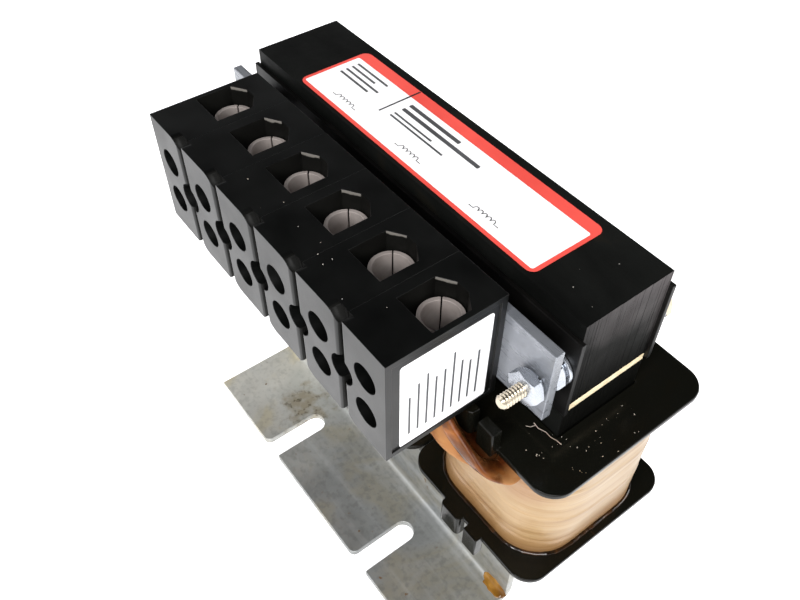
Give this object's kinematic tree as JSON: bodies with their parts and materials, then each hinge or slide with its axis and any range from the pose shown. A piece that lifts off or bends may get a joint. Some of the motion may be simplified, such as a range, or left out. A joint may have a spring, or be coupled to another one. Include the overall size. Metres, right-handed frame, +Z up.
{
  "type": "line reactor",
  "caption": "Three-phase line reactor: laminated core with taped coils on black bobbins, zinc foot brackets and a black terminal block along the front.",
  "frame": {"origin": "on the mounting plane, under the middle of the core and in the middle of the four foot slots", "axes": "+X along the core, from the far end to the end with the label recess; -Y towards the terminal side; +Z up"},
  "size_m": [0.1518, 0.0997, 0.1343],
  "materials": {
    "lamination": "satin varnish over laminations",
    "shim": "matte board",
    "bobbin": "gloss",
    "copper": "enamelled",
    "tape": "satin tape",
    "varnished_lead": "gloss varnish",
    "clamp_plate": "satin",
    "foot_zinc": "zinc plated",
    "bracket_zinc": "zinc plated",
    "block_plastic": "satin",
    "sleeve_metal": "satin",
    "screw_zinc": "zinc plated",
    "bolt_zinc": "yellow zinc",
    "hardware_zinc": "zinc plated"
  },
  "bodies": {
    "root": {"core_e": "lamination", "core_yoke": "lamination", "gap_shim_left": "shim", "gap_shim_middle": "shim", "gap_shim_right": "shim", "bobbin_left": "bobbin", "bobbin_middle": "bobbin", "bobbin_right": "bobbin", "coil_left": "copper", "coil_middle": "copper", "coil_right": "copper", "wrap_left": "tape", "wrap_middle": "tape", "wrap_right": "tape", "lead_1": "varnished_lead", "lead_2": "varnished_lead", "lead_3": "varnished_lead", "lead_4": "varnished_lead", "lead_5": "varnished_lead", "lead_6": "varnished_lead", "clamp_plate_upper_front": "clamp_plate", "clamp_plate_upper_rear": "clamp_plate", "clamp_plate_lower_front": "clamp_plate", "clamp_plate_lower_rear": "clamp_plate", "foot_bracket_front": "foot_zinc", "foot_bracket_rear": "foot_zinc", "yoke_bolts": "bolt_zinc", "yoke_flat_washers": "hardware_zinc", "yoke_lock_washers": "hardware_zinc", "yoke_nuts": "hardware_zinc", "terminal_bracket": "bracket_zinc", "bracket_lock_washers": "hardware_zinc", "bracket_nuts": "hardware_zinc", "foot_bolts": "hardware_zinc", "foot_lock_washers": "hardware_zinc", "foot_nuts": "hardware_zinc", "terminal_pole_1": "block_plastic", "terminal_pole_2": "block_plastic", "terminal_pole_3": "block_plastic", "terminal_pole_4": "block_plastic", "terminal_pole_5": "block_plastic", "terminal_pole_6": "block_plastic", "terminal_sleeve_1": "sleeve_metal", "terminal_sleeve_2": "sleeve_metal", "terminal_sleeve_3": "sleeve_metal", "terminal_sleeve_4": "sleeve_metal", "terminal_sleeve_5": "sleeve_metal", "terminal_sleeve_6": "sleeve_metal", "terminal_screws": "screw_zinc", "block_screws": "hardware_zinc", "block_nuts": "hardware_zinc"}
  },
  "joints": []
}
